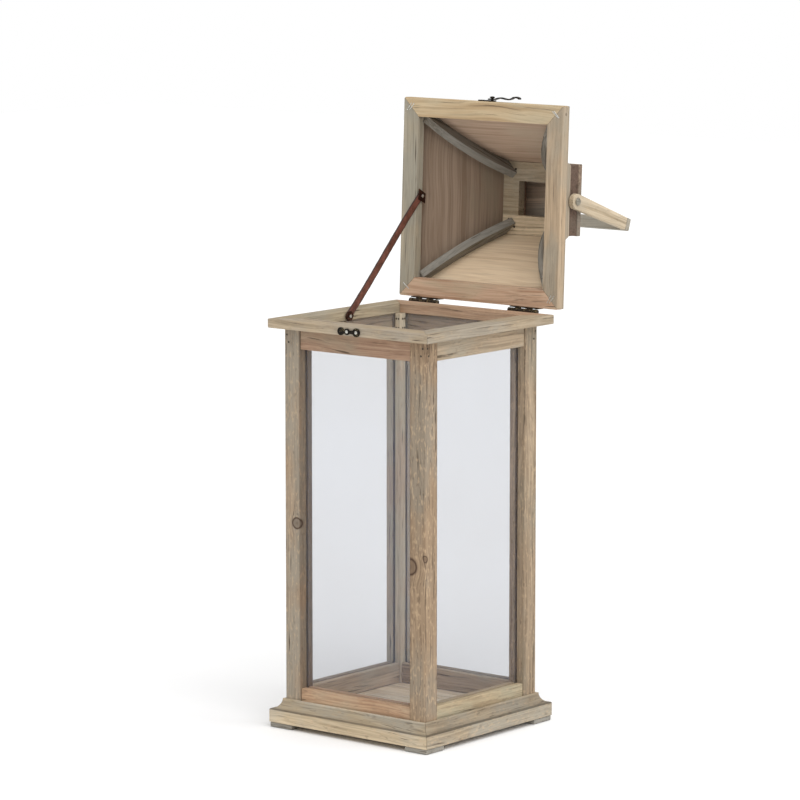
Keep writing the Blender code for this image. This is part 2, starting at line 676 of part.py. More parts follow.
# The lever is a wavy strip: (distance from the pivot, height off the lid's edge, half width)
LEVER = [
    (-0.0042, 0.0018, 0.0022), (-0.0030, 0.0018, 0.0036), (0.0000, 0.0018, 0.0042),
    (0.0030, 0.0018, 0.0036), (0.0055, 0.0023, 0.0024), (0.0085, 0.0032, 0.0026),
    (0.0110, 0.0036, 0.0028), (0.0145, 0.0032, 0.0024), (0.0180, 0.0026, 0.0021),
    (0.0220, 0.0024, 0.0021), (0.0255, 0.0034, 0.0023), (0.0280, 0.0048, 0.0026),
    (0.0310, 0.0052, 0.0028), (0.0335, 0.0046, 0.0026), (0.0352, 0.0036, 0.0020)]
LEVER_THICKNESS = 0.0013
lever_axis = empty("latch_axis", (LATCH_PIVOT_X, face_y, LATCH_PLATE_N), parent=lid)
bm = bmesh.new()
rings = []
for i, (x, proud, half_width) in enumerate(LEVER):
    before = LEVER[max(i - 1, 0)]
    after = LEVER[min(i + 1, len(LEVER) - 1)]
    slope = math.atan2(after[1] - before[1], after[0] - before[0])
    dx, dy = -math.sin(slope) * LEVER_THICKNESS, math.cos(slope) * LEVER_THICKNESS
    rings.append([bm.verts.new(point) for point in (
        (x, -proud, -half_width), (x, -proud, half_width),
        (x + dx, -proud - dy, half_width * 0.8), (x + dx, -proud - dy, -half_width * 0.8))])
for a, b in zip(rings, rings[1:]):
    for i in range(4):
        j = (i + 1) % 4
        bm.faces.new((a[i], a[j], b[j], b[i]))
bm.faces.new(rings[0])
bm.faces.new(rings[-1])
lever = add("latch_lever", bm, metal("latch_lever"), lever_axis, smooth=35)
cut(lever, cylinder((0, -0.0025, 0), 0.0016, 0.002, "Y", 14))

# The keeper on the rim: three lobes, with a low ring that the lever's waist drops over
catch_lobes = [(CATCH_X[0], 0.0040), (CATCH_X[1], 0.0032), (CATCH_X[2], 0.0044)]
bm = extrude([(x, face_y - GAP, CATCH_Z + z) for x, z in lobe_outline(catch_lobes)],
             (0, -CATCH_PROUD + GAP, 0))
catch = add("catch_plate", bm, metal("catch_plate"), body, smooth=35)
for x in CATCH_X:
    stud = bmesh.new()
    bmesh.ops.create_uvsphere(stud, u_segments=12, v_segments=6, radius=0.0017)
    bmesh.ops.transform(stud, matrix=Matrix.Translation((
        x, face_y - CATCH_PROUD + 0.00005, CATCH_Z)) @ Matrix.Diagonal((1, 0.33, 1, 1))
        @ Matrix.Rotation(math.pi / 2, 4, "X"), verts=stud.verts)
    join(catch, stud)
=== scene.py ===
"""Finishes for the weathered wooden lantern: boards, glass, bronze fittings, nails and the stay."""

import json
import math
import random

import bmesh
import bpy
from mathutils import Matrix, Vector


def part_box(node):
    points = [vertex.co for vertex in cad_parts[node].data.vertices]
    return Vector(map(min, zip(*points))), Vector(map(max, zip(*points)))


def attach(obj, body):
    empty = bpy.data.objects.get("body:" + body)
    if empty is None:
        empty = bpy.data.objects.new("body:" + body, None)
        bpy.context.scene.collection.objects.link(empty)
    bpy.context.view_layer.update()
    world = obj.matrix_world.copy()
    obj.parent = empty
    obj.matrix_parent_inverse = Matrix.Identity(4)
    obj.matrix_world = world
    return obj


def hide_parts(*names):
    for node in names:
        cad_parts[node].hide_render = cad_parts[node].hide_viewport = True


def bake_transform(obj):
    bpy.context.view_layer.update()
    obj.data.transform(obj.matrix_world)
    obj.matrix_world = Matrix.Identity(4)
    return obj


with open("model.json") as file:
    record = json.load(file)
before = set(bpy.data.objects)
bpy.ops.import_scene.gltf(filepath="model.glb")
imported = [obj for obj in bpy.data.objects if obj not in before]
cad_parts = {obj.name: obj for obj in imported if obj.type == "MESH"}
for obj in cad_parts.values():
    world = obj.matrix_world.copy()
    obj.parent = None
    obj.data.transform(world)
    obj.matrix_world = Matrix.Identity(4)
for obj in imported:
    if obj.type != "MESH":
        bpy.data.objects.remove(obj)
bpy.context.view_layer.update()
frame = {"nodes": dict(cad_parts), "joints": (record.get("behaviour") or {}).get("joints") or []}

# The lantern's own sizes, in metres, from the middle of the body or of the lid
RIM_HALF = 0.1025
RIM_INNER = 0.0775
LID_INNER = 0.0830
LID_ANGLE = math.radians(92.4)
HINGE_TO_LID = 0.0040         # from the hinge pins to the lid's back edge
PINS_BELOW_LID = 0.0003
HINGE_X = {"left": -0.0690, "right": 0.0595}
POST_INNER, POST_OUTER = 0.0705, 0.0900
PANE_MIDDLE = 0.0795
MOULDING_SPAN = 0.030         # height that the moulding's painted shade is laid out over
NECK_HOLE = 0.0179
NECK_UNDERSIDE = 0.0885       # above the lid's underside
CAP_INNER = 0.0300
ROOF_CURVE_OUT, ROOF_CURVE_UP = 0.2085, 0.1549   # centre of the roof's curve
ROOF_RADIUS, ROOF_THICKNESS = 0.1790, 0.0036
SKIN = 0.0005                 # depth under each face of a roof sheet that is wholly one colour
PIVOT_A, PIVOT_N = 0.1020, 0.1069   # from the lid's back edge, and above its underside
HANDLE_LEAN = math.radians(16.6)
GRIP_OUT = 0.0978             # from the pivots to the grip's far face

X, Y, Z = Vector((1, 0, 0)), Vector((0, 1, 0)), Vector((0, 0, 1))


def middle(name):
    low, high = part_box(name)
    return (low + high) / 2


body_y = middle("floor_board").y
hinge_at = Vector(next(j["pos_m"] for j in frame["joints"] if j["name"] == "lid_hinge"))
lid_turn = Matrix.Rotation(-LID_ANGLE, 3, "X")
LID_DOWN = lid_turn @ Vector((0, -1, 0))      # along the lid, from the hinges to its front edge
LID_OUT = lid_turn @ Z                        # from the lid's underside to its top
HANDLE_OUT = lid_turn @ Vector((0, math.sin(HANDLE_LEAN), math.cos(HANDLE_LEAN)))


def on_lid(x, a, n):
    """A point of the open lid: across, from its back edge, and above its underside."""
    return hinge_at + lid_turn @ Vector((x, -HINGE_TO_LID - a, PINS_BELOW_LID + n))


def on_body(x, y, z):
    return Vector((x, body_y + y, z))


# ---------------------------------------------------------------- materials
MATH, VECTOR_MATH, MIX = "ShaderNodeMath", "ShaderNodeVectorMath", "ShaderNodeMix"
MAP_RANGE, RAMP, BUMP = "ShaderNodeMapRange", "ShaderNodeValToRGB", "ShaderNodeBump"
NOISE, MAPPING, PLACE = "ShaderNodeTexNoise", "ShaderNodeMapping", "ShaderNodeTexCoord"


def linear(colour):
    """An sRGB hex colour as linear red, green, blue and alpha."""
    out = []
    for start in (0, 2, 4):
        c = int(colour[start:start + 2], 16) / 255
        out.append(c / 12.92 if c <= 0.04045 else ((c + 0.055) / 1.055) ** 2.4)
    return (*out, 1.0)


def add_node(tree, kind, inputs=None, stops=None, **settings):
    """Adds a node: its settings, its sockets' values or links, and a ramp's stops."""
    made = tree.nodes.new(kind)
    for key, value in settings.items():
        setattr(made, key, value)
    for key, value in (inputs or {}).items():
        if isinstance(value, bpy.types.NodeSocket):
            tree.links.new(value, made.inputs[key])
        else:
            made.inputs[key].default_value = value
    if stops:
        ramp = made.color_ramp
        while len(ramp.elements) < len(stops):
            ramp.elements.new(0.5)
        for element, (place, colour) in zip(ramp.elements, stops):
            element.position = place
            element.color = linear(colour) if isinstance(colour, str) else (
                colour, colour, colour, 1.0)
    return made


def new_material(name):
    made = bpy.data.materials.new(name)
    made.use_nodes = True
    tree = made.node_tree
    return made, tree, tree.nodes["Principled BSDF"]


def finish_surface(tree, shader, colour, rough, relief=None):
    """Links a surface's colour, roughness and relief to its shader."""
    tree.links.new(colour, shader.inputs["Base Color"])
    tree.links.new(rough, shader.inputs["Roughness"])
    if relief is not None:
        tree.links.new(relief, shader.inputs["Normal"])


def roof_outside(tree, place, name):
    """1 on a roof panel's outer face and 0 on its inner one, from the curve they share."""
    away = add_node(tree, VECTOR_MATH, {0: place, 1: hinge_at}, operation="SUBTRACT").outputs[0]
    up = add_node(tree, VECTOR_MATH, {0: away, 1: LID_OUT}, operation="DOT_PRODUCT").outputs["Value"]
    if "front" in name or "back" in name:
        out = add_node(tree, VECTOR_MATH, {0: away, 1: LID_DOWN},
                       operation="DOT_PRODUCT").outputs["Value"]
        out = add_node(tree, MATH, {0: out, 1: HINGE_TO_LID + RIM_HALF},
                       operation="SUBTRACT").outputs[0]
    else:
        out = add_node(tree, "ShaderNodeSeparateXYZ", {0: place}).outputs["X"]
    out = add_node(tree, MATH, {0: out}, operation="ABSOLUTE").outputs[0]
    out = add_node(tree, MATH, {0: out, 1: ROOF_CURVE_OUT}, operation="SUBTRACT").outputs[0]
    up = add_node(tree, MATH, {0: up, 1: ROOF_CURVE_UP}, operation="SUBTRACT").outputs[0]
    flat = add_node(tree, "ShaderNodeCombineXYZ", {0: out, 1: up}).outputs[0]
    radius = add_node(tree, VECTOR_MATH, {0: flat}, operation="LENGTH").outputs["Value"]
    return add_node(tree, MAP_RANGE, {
        0: radius, 1: ROOF_RADIUS + SKIN, 2: ROOF_RADIUS + ROOF_THICKNESS - SKIN, 3: 1.0,
        4: 0.0}).outputs[0]


def grow_knots(tree, place, knots):
    """Bends the grain round each knot. Gives the bent place and how dark the knots are there."""
    darkness = None
    for centre, radius in knots:
        away = add_node(tree, VECTOR_MATH, {0: place, 1: tuple(centre)},
                        operation="SUBTRACT").outputs[0]
        far = add_node(tree, VECTOR_MATH, {0: away}, operation="LENGTH").outputs[1]
        near = add_node(tree, MAP_RANGE, {0: far, 1: 0.0, 2: radius * 3.2, 3: 1.0, 4: 0.0},
                        interpolation_type="SMOOTHSTEP").outputs[0]
        bend = add_node(tree, MATH, {0: near, 1: -0.72}, operation="MULTIPLY").outputs[0]
        pull = add_node(tree, VECTOR_MATH, {0: away, 3: bend}, operation="SCALE").outputs[0]
        place = add_node(tree, VECTOR_MATH, {0: place, 1: pull}, operation="ADD").outputs[0]
        share = add_node(tree, MATH, {0: far, 1: radius * 1.9}, operation="DIVIDE").outputs[0]
        heart = add_node(tree, RAMP, {0: share}, [
            (0.0, 0.60), (0.25, 0.35), (0.40, 0.35), (0.53, 1.0), (0.68, 0.0)]).outputs[0]
        if darkness is None:
            darkness = heart
        else:
            darkness = add_node(tree, MATH, {0: darkness, 1: heart},
                                operation="MAXIMUM").outputs[0]
    return place, darkness


def shade_posts(tree, colour, at, shade_inner_faces):
    """Painted shadow where a pane goes into its groove in a post, and painted shade that browns the
    inner faces.
    """
    out_x = add_node(tree, MATH, {0: at["X"]}, operation="ABSOLUTE").outputs[0]
    out_y = add_node(tree, MATH, {0: at["Y"], 1: body_y}, operation="SUBTRACT").outputs[0]
    out_y = add_node(tree, MATH, {0: out_y}, operation="ABSOLUTE").outputs[0]
    nearest = add_node(tree, MATH, {0: out_x, 1: out_y}, operation="MINIMUM").outputs[0]
    within = add_node(tree, MAP_RANGE, {
        0: nearest, 1: POST_INNER + 0.0004, 2: POST_INNER + 0.0017, 3: 1.0, 4: 0.0}).outputs[0]
    if shade_inner_faces:
        # Painted shade: inner faces, which little light reaches, are darkened to a browner colour
        share = add_node(tree, MATH, {0: within, 1: 0.5}, operation="MULTIPLY").outputs[0]
        shaded_inner = add_node(tree, MIX, {0: 1.0, 6: colour, 7: linear("8A7058")}, data_type="RGBA",
                           blend_type="MULTIPLY").outputs[2]
        colour = add_node(tree, MIX, {0: share, 6: colour, 7: shaded_inner},
                          data_type="RGBA").outputs[2]
    # Painted shadow: a dark line where each pane meets its groove, on the inner faces
    farthest = add_node(tree, MATH, {0: out_x, 1: out_y}, operation="MAXIMUM").outputs[0]
    off_pane = add_node(tree, MATH, {0: farthest, 1: PANE_MIDDLE}, operation="SUBTRACT").outputs[0]
    off_pane = add_node(tree, MATH, {0: off_pane}, operation="ABSOLUTE").outputs[0]
    groove_shadow = add_node(tree, MAP_RANGE, {0: off_pane, 1: 0.0010, 2: 0.0018, 3: 0.85, 4: 0.0}).outputs[0]
    share = add_node(tree, MATH, {0: groove_shadow, 1: within}, operation="MULTIPLY").outputs[0]
    return add_node(tree, MIX, {0: share, 6: colour, 7: linear("2E241A")},
                    data_type="RGBA").outputs[2]


def light_cap_hollow(tree, at, lift, behind=None):
    """Painted light in the cap's hollow: a tone that lifts the inside of the cap box, and only the
    near half of what closes it.
    """
    up = add_node(tree, MATH, {0: at["Z"], 1: middle("cap_box").z}, operation="SUBTRACT").outputs[0]
    up = add_node(tree, MATH, {0: up}, operation="ABSOLUTE").outputs[0]
    out = add_node(tree, MATH, {0: at["X"]}, operation="ABSOLUTE").outputs[0]
    farthest = add_node(tree, MATH, {0: out, 1: up}, operation="MAXIMUM").outputs[0]
    hollow_light = add_node(tree, MAP_RANGE, {
        0: farthest, 1: CAP_INNER + 0.0001, 2: CAP_INNER + 0.0004, 3: lift, 4: 1.0}).outputs[0]
    if behind is not None:
        deep = add_node(tree, MATH, {0: at["Y"], 1: behind}, operation="SUBTRACT").outputs[0]
        hollow_light = add_node(tree, MAP_RANGE, {0: deep, 1: -0.0004, 2: 0.0004, 3: hollow_light, 4: 1.0}).outputs[0]
    return hollow_light


def paler_neck(tree, at):
    """A tone that leaves the board nearest the hinges paler than the other three."""
    below = add_node(tree, MATH, {0: middle("neck_frame").z - NECK_HOLE, 1: at["Z"]},
                     operation="SUBTRACT").outputs[0]
    return add_node(tree, MAP_RANGE, {0: below, 1: 0.0, 2: 0.0004, 3: 1.0, 4: 1.62}).outputs[0]


def shade_moulding(tree, at):
    """A tone of painted shade that darkens the crease on the ledge under the cove, and dulls the cove
    itself.
    """
    level = add_node(tree, MATH, {0: at["Z"], 1: 1 / MOULDING_SPAN}, operation="MULTIPLY").outputs[0]
    return add_node(tree, RAMP, {0: level}, [
        (0.0, 1.0), (0.578, 1.0), (0.594, 0.36), (0.622, 0.34), (0.640, 0.66), (0.90, 0.74),
        (0.955, 1.0)]).outputs[0]


# Softwood, sawn and brushed, then washed with a thin grey stain: long fibres, soft growth bands,
# worn patches where the wash is gone, and small dark checks
def weathered_wood(name, grain, tone, seed, knots=(), smooth=False):
    pale, dark, wash, washed, specks = tone
    made, tree, shader = new_material("washed_pine_" + name)
    place = add_node(tree, PLACE).outputs["Object"]
    at = add_node(tree, "ShaderNodeSeparateXYZ", {0: place}).outputs
    place, knot_mask = grow_knots(tree, place, knots)
    turn = Vector(grain).normalized().rotation_difference(X).to_euler()
    board = add_node(tree, MAPPING, {
        "Vector": place, "Rotation": turn,
        "Location": (seed * 0.731, seed * 1.137, seed * 0.413)}).outputs[0]
    wander = add_node(tree, NOISE, {"Vector": board, "Scale": 9.0, "Detail": 1.0})
    shift = add_node(tree, VECTOR_MATH, {0: wander.outputs["Color"], 1: (0.5, 0.5, 0.5)},
                     operation="SUBTRACT").outputs[0]
    shift = add_node(tree, VECTOR_MATH, {0: shift, 1: (0.0, 0.012, 0.012)},
                     operation="MULTIPLY").outputs[0]
    waved = add_node(tree, VECTOR_MATH, {0: board, 1: shift}, operation="ADD").outputs[0]

    def grained(scale, detail, rough=0.55):
        stretched = add_node(tree, MAPPING, {"Vector": waved, "Scale": scale}).outputs[0]
        return add_node(tree, NOISE, {
            "Vector": stretched, "Scale": 1.0, "Detail": detail, "Roughness": rough}).outputs[0]

    bands = grained((3.0, 150.0, 150.0), 2.0)        # growth bands about 6 mm apart
    fibres = grained((14.0, 620.0, 620.0), 3.0)      # fibres of about 1.5 mm
    checks = grained((9.0, 380.0, 380.0), 2.0, 0.7)  # fine dark checks along the grain
    patches = grained((11.0, 26.0, 26.0), 3.0)       # where the wash has worn through

    pale, dark, wash = linear(pale), linear(dark), linear(wash)
    if name.startswith("roof_panel"):
        # The outside of the roof has one grey-brown stain; within, each sheet keeps its own tone,
        # paler where it faces up to the light and darker where it faces away: painted light and shade
        outside = roof_outside(tree, place, name)
        pale, dark, wash = (
            add_node(tree, MIX, {0: outside, 6: inner, 7: linear(outer)}, data_type="RGBA").outputs[2]
            for inner, outer in zip((pale, dark, wash), ROOF_STAIN))

    band_mask = add_node(tree, RAMP, {0: bands}, [
        (0.36, 0.0), (0.47, 0.75), (0.53, 0.25), (0.66, 1.0)]).outputs[0]
    wash_mask = add_node(tree, MAP_RANGE, {
        0: patches, 1: 0.60 - 0.35 * washed, 2: 0.82 - 0.35 * washed, 3: 0.0, 4: 0.85},
        interpolation_type="SMOOTHSTEP").outputs[0]
    fibre_tone = add_node(tree, RAMP, {0: fibres}, [
        (0.30, 0.66), (0.50, 0.94), (0.70, 1.0)]).outputs[0]
    check_mask = add_node(tree, RAMP, {0: checks}, [
        (0.29, 0.15 if smooth else 0.80), (0.37, 0.0), (1.0, 0.0)]).outputs[0]
    # What is laid over the wood in turn: how much of it, its colour, and how it is laid
    coats = [(band_mask, dark, "MIX"), (wash_mask, wash, "MIX"),
             (0.25 if smooth else 0.80, fibre_tone, "MULTIPLY"),
             (check_mask, linear("4A3A28"), "MIX")]
    if specks:
        spots = grained((150.0, 420.0, 420.0), 2.0, 0.6)
        spot_mask = add_node(tree, MAP_RANGE, {
            0: spots, 1: 0.55, 2: 0.66, 3: 0.0, 4: specks * 1.25}).outputs[0]
        pits = grained((120.0, 360.0, 360.0), 1.0, 0.6)
        pit_mask = add_node(tree, MAP_RANGE, {
            0: pits, 1: 0.62, 2: 0.74, 3: 0.0, 4: specks * 1.2}).outputs[0]
        coats += [(spot_mask, linear("D0AC7C"), "MIX"), (pit_mask, linear("5B4632"), "MIX")]
    if knot_mask is not None:
        coats.append((knot_mask, linear("452A1A"), "MIX"))
    colour = pale
    for share, coat, how in coats:
        colour = add_node(tree, MIX, {0: share, 6: colour, 7: coat}, data_type="RGBA",
                          blend_type=how).outputs[2]
    colour = add_node(tree, "ShaderNodeHueSaturation", {
        "Saturation": 0.80, "Value": 0.97, "Color": colour}).outputs[0]

    # Painted shadow along every post's pane grooves, and painted shade on the front posts' inner faces
    if name.startswith("post"):
        colour = shade_posts(tree, colour, at, name.startswith("post_front"))
    shade = None
    # Painted light lifts the hollow of the cap above the cap box's dark tone of painted shade
    if name == "cap_box":
        shade = light_cap_hollow(tree, at, 3.4)
    elif name == "cap_plate":
        shade = light_cap_hollow(tree, at, 2.0, middle("cap_plate").y)
    elif name == "neck_frame":
        shade = paler_neck(tree, at)
    # Painted shade on the moulding: a dark line in the crease under the cove, and a duller cove
    elif name.startswith("base_moulding"):
        shade = shade_moulding(tree, at)
    if shade is not None:
        colour = add_node(tree, MIX, {0: 1.0, 6: colour, 7: shade}, data_type="RGBA",
                          blend_type="MULTIPLY").outputs[2]

    height = add_node(tree, MATH, {0: bands, 1: 0.5}, operation="MULTIPLY").outputs[0]
    height = add_node(tree, MATH, {0: fibres, 1: 0.6, 2: height}, operation="MULTIPLY_ADD").outputs[0]
    depth = add_node(tree, MATH, {0: check_mask, 1: 0.6}, operation="MULTIPLY").outputs[0]
    height = add_node(tree, MATH, {0: height, 1: depth}, operation="SUBTRACT").outputs[0]
    relief = add_node(tree, BUMP, {
        "Height": height, "Strength": 0.2 if smooth else 0.6, "Distance": 0.0006}).outputs[0]
    rough = add_node(tree, MAP_RANGE, {0: fibres, 1: 0.3, 2: 0.7, 3: 0.86, 4: 0.70}).outputs[0]
    finish_surface(tree, shader, colour, rough, relief)
    shader.inputs["IOR"].default_value = 1.45
    shader.inputs["Specular IOR Level"].default_value = 0.3
    return made


# Steel fittings with an antiqued bronze finish: near black, rubbed to a dull brass on high spots
def antique_bronze(name, dark, rubbed, share, roughness):
    made, tree, shader = new_material(name)
    place = add_node(tree, PLACE).outputs["Object"]
    blotch = add_node(tree, NOISE, {
        "Vector": place, "Scale": 420.0, "Detail": 4.0, "Roughness": 0.6}).outputs[0]
    fine = add_node(tree, NOISE, {"Vector": place, "Scale": 1800.0, "Detail": 2.0}).outputs[0]
    mask = add_node(tree, MAP_RANGE, {
        0: blotch, 1: 0.64 - share * 0.3, 2: 0.78 - share * 0.3, 3: 0.0, 4: 0.9}).outputs[0]
    colour = add_node(tree, MIX, {0: mask, 6: linear(dark), 7: linear(rubbed)},
                      data_type="RGBA").outputs[2]
    rough = add_node(tree, MAP_RANGE, {
        0: blotch, 1: 0.3, 2: 0.7, 3: roughness + 0.14, 4: roughness - 0.08}).outputs[0]
    height = add_node(tree, MATH, {0: fine, 1: blotch}, operation="ADD").outputs[0]
    relief = add_node(tree, BUMP, {
        "Height": height, "Strength": 0.35, "Distance": 0.0002}).outputs[0]
    finish_surface(tree, shader, colour, rough, relief)
    shader.inputs["Metallic"].default_value = 0.85
    return made


# Clear float glass, seen as a cool pale film with soft reflections
def float_glass(name, film):
    made, tree, shader = new_material(name)
    place = add_node(tree, PLACE).outputs["Object"]
    haze = add_node(tree, NOISE, {"Vector": place, "Scale": 7.0, "Detail": 2.0}).outputs[0]
    tint = add_node(tree, RAMP, {0: haze}, [(0.35, "566078"), (0.65, "687690")]).outputs[0]
    smear = add_node(tree, MAP_RANGE, {0: haze, 1: 0.3, 2: 0.7, 3: 0.03, 4: 0.07}).outputs[0]
    finish_surface(tree, shader, tint, smear)
    shader.inputs["Alpha"].default_value = film
    shader.inputs["IOR"].default_value = 1.5
    shader.inputs["Specular IOR Level"].default_value = 0.3
    return made


# Waxed harness leather: red-brown, darker along its burnished edges, with a fine pebbled grain
def waxed_leather(name):
    made, tree, shader = new_material(name)
    place = add_node(tree, PLACE).outputs["Object"]
    across = add_node(tree, "ShaderNodeAttribute", attribute_name="edge").outputs["Fac"]
    mottle = add_node(tree, NOISE, {
        "Vector": place, "Scale": 130.0, "Detail": 4.0, "Roughness": 0.6}).outputs[0]
    pebble = add_node(tree, "ShaderNodeTexVoronoi", {"Vector": place, "Scale": 900.0}).outputs[0]
    colour = add_node(tree, RAMP, {0: mottle}, [
        (0.30, "4A2A1E"), (0.50, "673C2E"), (0.70, "7E4E42")]).outputs[0]
    ragged = add_node(tree, MATH, {0: mottle, 1: 0.25, 2: across},
                      operation="MULTIPLY_ADD").outputs[0]
    edge = add_node(tree, MAP_RANGE, {0: ragged, 1: 0.78, 2: 1.02, 3: 0.0, 4: 0.92}).outputs[0]
    colour = add_node(tree, MIX, {0: edge, 6: colour, 7: linear("2C1610")},
                      data_type="RGBA").outputs[2]
    height = add_node(tree, MATH, {0: pebble, 1: mottle}, operation="ADD").outputs[0]
    relief = add_node(tree, BUMP, {
        "Height": height, "Strength": 0.4, "Distance": 0.0002}).outputs[0]
    rough = add_node(tree, MAP_RANGE, {0: mottle, 1: 0.3, 2: 0.7, 3: 0.62, 4: 0.48}).outputs[0]
    finish_surface(tree, shader, colour, rough, relief)
    return made


# Steel of screws, nails and staples, a little dulled
def dulled_steel(name, colour_low, colour_high, roughness):
    made, tree, shader = new_material(name)
    place = add_node(tree, PLACE).outputs["Object"]
    blotch = add_node(tree, NOISE, {"Vector": place, "Scale": 900.0, "Detail": 3.0}).outputs[0]
    colour = add_node(tree, RAMP, {0: blotch}, [
        (0.35, colour_low), (0.65, colour_high)]).outputs[0]
    rough = add_node(tree, MAP_RANGE, {
        0: blotch, 1: 0.3, 2: 0.7, 3: roughness + 0.1, 4: roughness - 0.1}).outputs[0]
    finish_surface(tree, shader, colour, rough)
    shader.inputs["Metallic"].default_value = 0.8
    return made


# ---------------------------------------------------------------- which finish each board has
def paint(name, made):
    mesh = frame["nodes"][name].data
    mesh.materials.clear()
    mesh.materials.append(made)


SIDES = ("front", "right", "back", "left")
CORNERS = ("front_left", "front_right", "back_right", "back_left")
ACROSS = {"front": X, "right": Y, "back": X, "left": Y}
LID_ACROSS = {"front": X, "right": LID_DOWN, "back": X, "left": LID_DOWN}

# The outside of the roof: pale wood, dark wood and wash
ROOF_STAIN = ("B8A488", "8C7A60", "A39986")

# pale wood, dark wood, wash, share washed, specks
TONES = {
    "foot": ("A29A8A", "7F786A", "9A958A", 0.8, 0.0),
    "base_moulding": ("DEC59A", "B09870", "C5BAA4", 0.55, 0.25),
    "base_moulding_right": ("BEA884", "957F5F", "A99F8B", 0.6, 0.3),
    "floor_board": ("E6CEA8", "C3A780", "D8C8AC", 0.5, 0.1),
    "post_front_left": ("BA9B76", "90775A", "9F937F", 0.75, 0.30),
    "post_front_right": ("B4946C", "8A6D4C", "968771", 0.45, 0.36),
    "post_back_right": ("B09674", "886F50", "958870", 0.5, 0.28),
    "post_back_left": ("DABF9C", "B09878", "C4B89C", 0.6, 0.2),
    "bottom_rail_front": ("D0A678", "A6764A", "B7A484", 0.3, 0.15),
    "bottom_rail": ("C6AC88", "9A8160", "B0A286", 0.5, 0.15),
    "bottom_rail_right": ("C6AE82", "9A8058", "AEA383", 0.5, 0.2),
    "top_rail": ("C4A67E", "9A805C", "AA9A7A", 0.5, 0.1),
    "top_rail_front": ("BC9470", "986C4A", "A48F70", 0.3, 0.1),
    "top_rail_right": ("CBAF8A", "9C8564", "B1A288", 0.55, 0.2),
    "rim_front": ("C0A884", "9D8764", "A99B86", 0.65, 0.15),
    "rim_right": ("BBA584", "9A8360", "A89B86", 0.65, 0.15),
    "rim_back": ("C59D78", "A0764C", "B39E7C", 0.3, 0.1),
    "rim_left": ("B8A480", "96825E", "A59A82", 0.6, 0.1),
    "lid_frame_front": ("D6BC8C", "BC9A66", "C4B088", 0.35, 0.05),
    "lid_frame_right": ("C9AB84", "A98A62", "A89A82", 0.55, 0.1),
    "lid_frame_back": ("DEB892", "B6865C", "C6B08A", 0.3, 0.1),
    "lid_frame_left": ("B8A88A", "98886C", "A29A86", 0.75, 0.05),
    # The roof panels' inner tones are lit and shaded copies of one wood: painted light on the back
    # panel, which faces up when the lid is open, painted shade on the left one, the front and right
    # between
    "roof_panel_left": ("987E64", "80664C", "8C795F", 0.3, 0.0),
    "roof_panel_right": ("B09272", "947658", "A48E70", 0.3, 0.0),
    "roof_panel_back": ("EACDA2", "D4B286", "E0CAA4", 0.3, 0.0),
    "roof_panel_front": ("CAAA8C", "AE8E70", "BEA688", 0.3, 0.0),
    "hip_rib": ("A89F8F", "5C5446", "8E897E", 0.7, 0.0),
    "neck_frame": ("BDA682", "97825F", "A89A80", 0.5, 0.15),
    # The cap box's dark tone is painted shade, as its outer faces lie in the lid's shadow; painted
    # light lifts its hollow back
    "cap_box": ("785B48", "55402F", "6A5846", 0.2, 0.0),
    "cap_plate": ("9A8168", "765F4A", "8E8272", 0.6, 0.0),
    "handle_arm": ("D6C09C", "AA9470", "C0B29A", 0.45, 0.15),
    "handle_grip": ("BCAC94", "8F8268", "A59F90", 0.7, 0.1),
}

# Centre and radius of each knot
post_y = body_y - POST_OUTER
KNOTS = {
    "post_front_left": [((-0.0747, post_y, 0.2100), 0.0054)],
    # Not a knot but a nail, punched just below the face and filled dark
    "lid_frame_right": [(on_lid(RIM_HALF, 0.1965, 0.0048), 0.0011)],
    "post_front_right": [((0.0712, post_y, 0.1828), 0.0078), ((0.0892, post_y, 0.1915), 0.0034)],
}

grain_of = {}
for side in SIDES:
    for kind in ("base_moulding", "bottom_rail", "top_rail", "rim"):
        grain_of[kind + "_" + side] = ACROSS[side]
    grain_of["lid_frame_" + side] = LID_ACROSS[side]
    grain_of["roof_panel_" + side] = LID_ACROSS[side]
for side in ("left", "right"):
    grain_of["handle_arm_" + side] = HANDLE_OUT
for corner in CORNERS:
    sx = -1 if "left" in corner else 1
    sy = -1 if "front" in corner else 1
    grain_of["post_" + corner] = Z
    grain_of["foot_" + corner] = X
    grain_of["hip_rib_" + corner] = lid_turn @ Vector((0.70 * sx, 0.70 * sy, -1.0))
for name in ("floor_board", "neck_frame", "cap_box", "cap_plate", "handle_grip"):
    grain_of[name] = X

for order, (name, grain) in enumerate(sorted(grain_of.items())):
    kind = name.rsplit("_", 1)[0]
    corner_kind = name.split("_front")[0].split("_back")[0]
    tone = TONES.get(name) or TONES.get(kind) or TONES[corner_kind]
    paint(name, weathered_wood(name, grain, tone, 1.0 + order, KNOTS.get(name, ()),
                               name.startswith("roof_panel")))

bronze = antique_bronze("antique_bronze_leaf", "3A3128", "8C7C58", 0.35, 0.45)
black_bronze = antique_bronze("black_bronze_latch", "1C1814", "8A7A58", 0.25, 0.38)
for name in ("rim_hinge_leaf_left", "rim_hinge_leaf_right", "lid_hinge_leaf_left",
             "lid_hinge_leaf_right"):
    paint(name, bronze)
for name in ("latch_plate", "latch_lever", "catch_plate"):
    paint(name, black_bronze)
rusty = antique_bronze("rusted_bronze_plate", "3A2118", "6E4A34", 0.35, 0.55)
for name in ("strap_plate_rim", "strap_plate_lid"):
    paint(name, rusty)
screw_steel = dulled_steel("zinc_plated_screw", "6E6A60", "A8A294", 0.42)
for name in ("handle_screw_left", "handle_screw_right"):
    paint(name, screw_steel)
# The front and back panes get a denser film than the side panes, painted shade that darkens the view
# through them
denser_glass = float_glass("denser_float_glass", 0.125)
thinner_glass = float_glass("thinner_float_glass", 0.095)
for side in SIDES:
    paint("glass_" + side, denser_glass if side in ("front", "back") else thinner_glass)


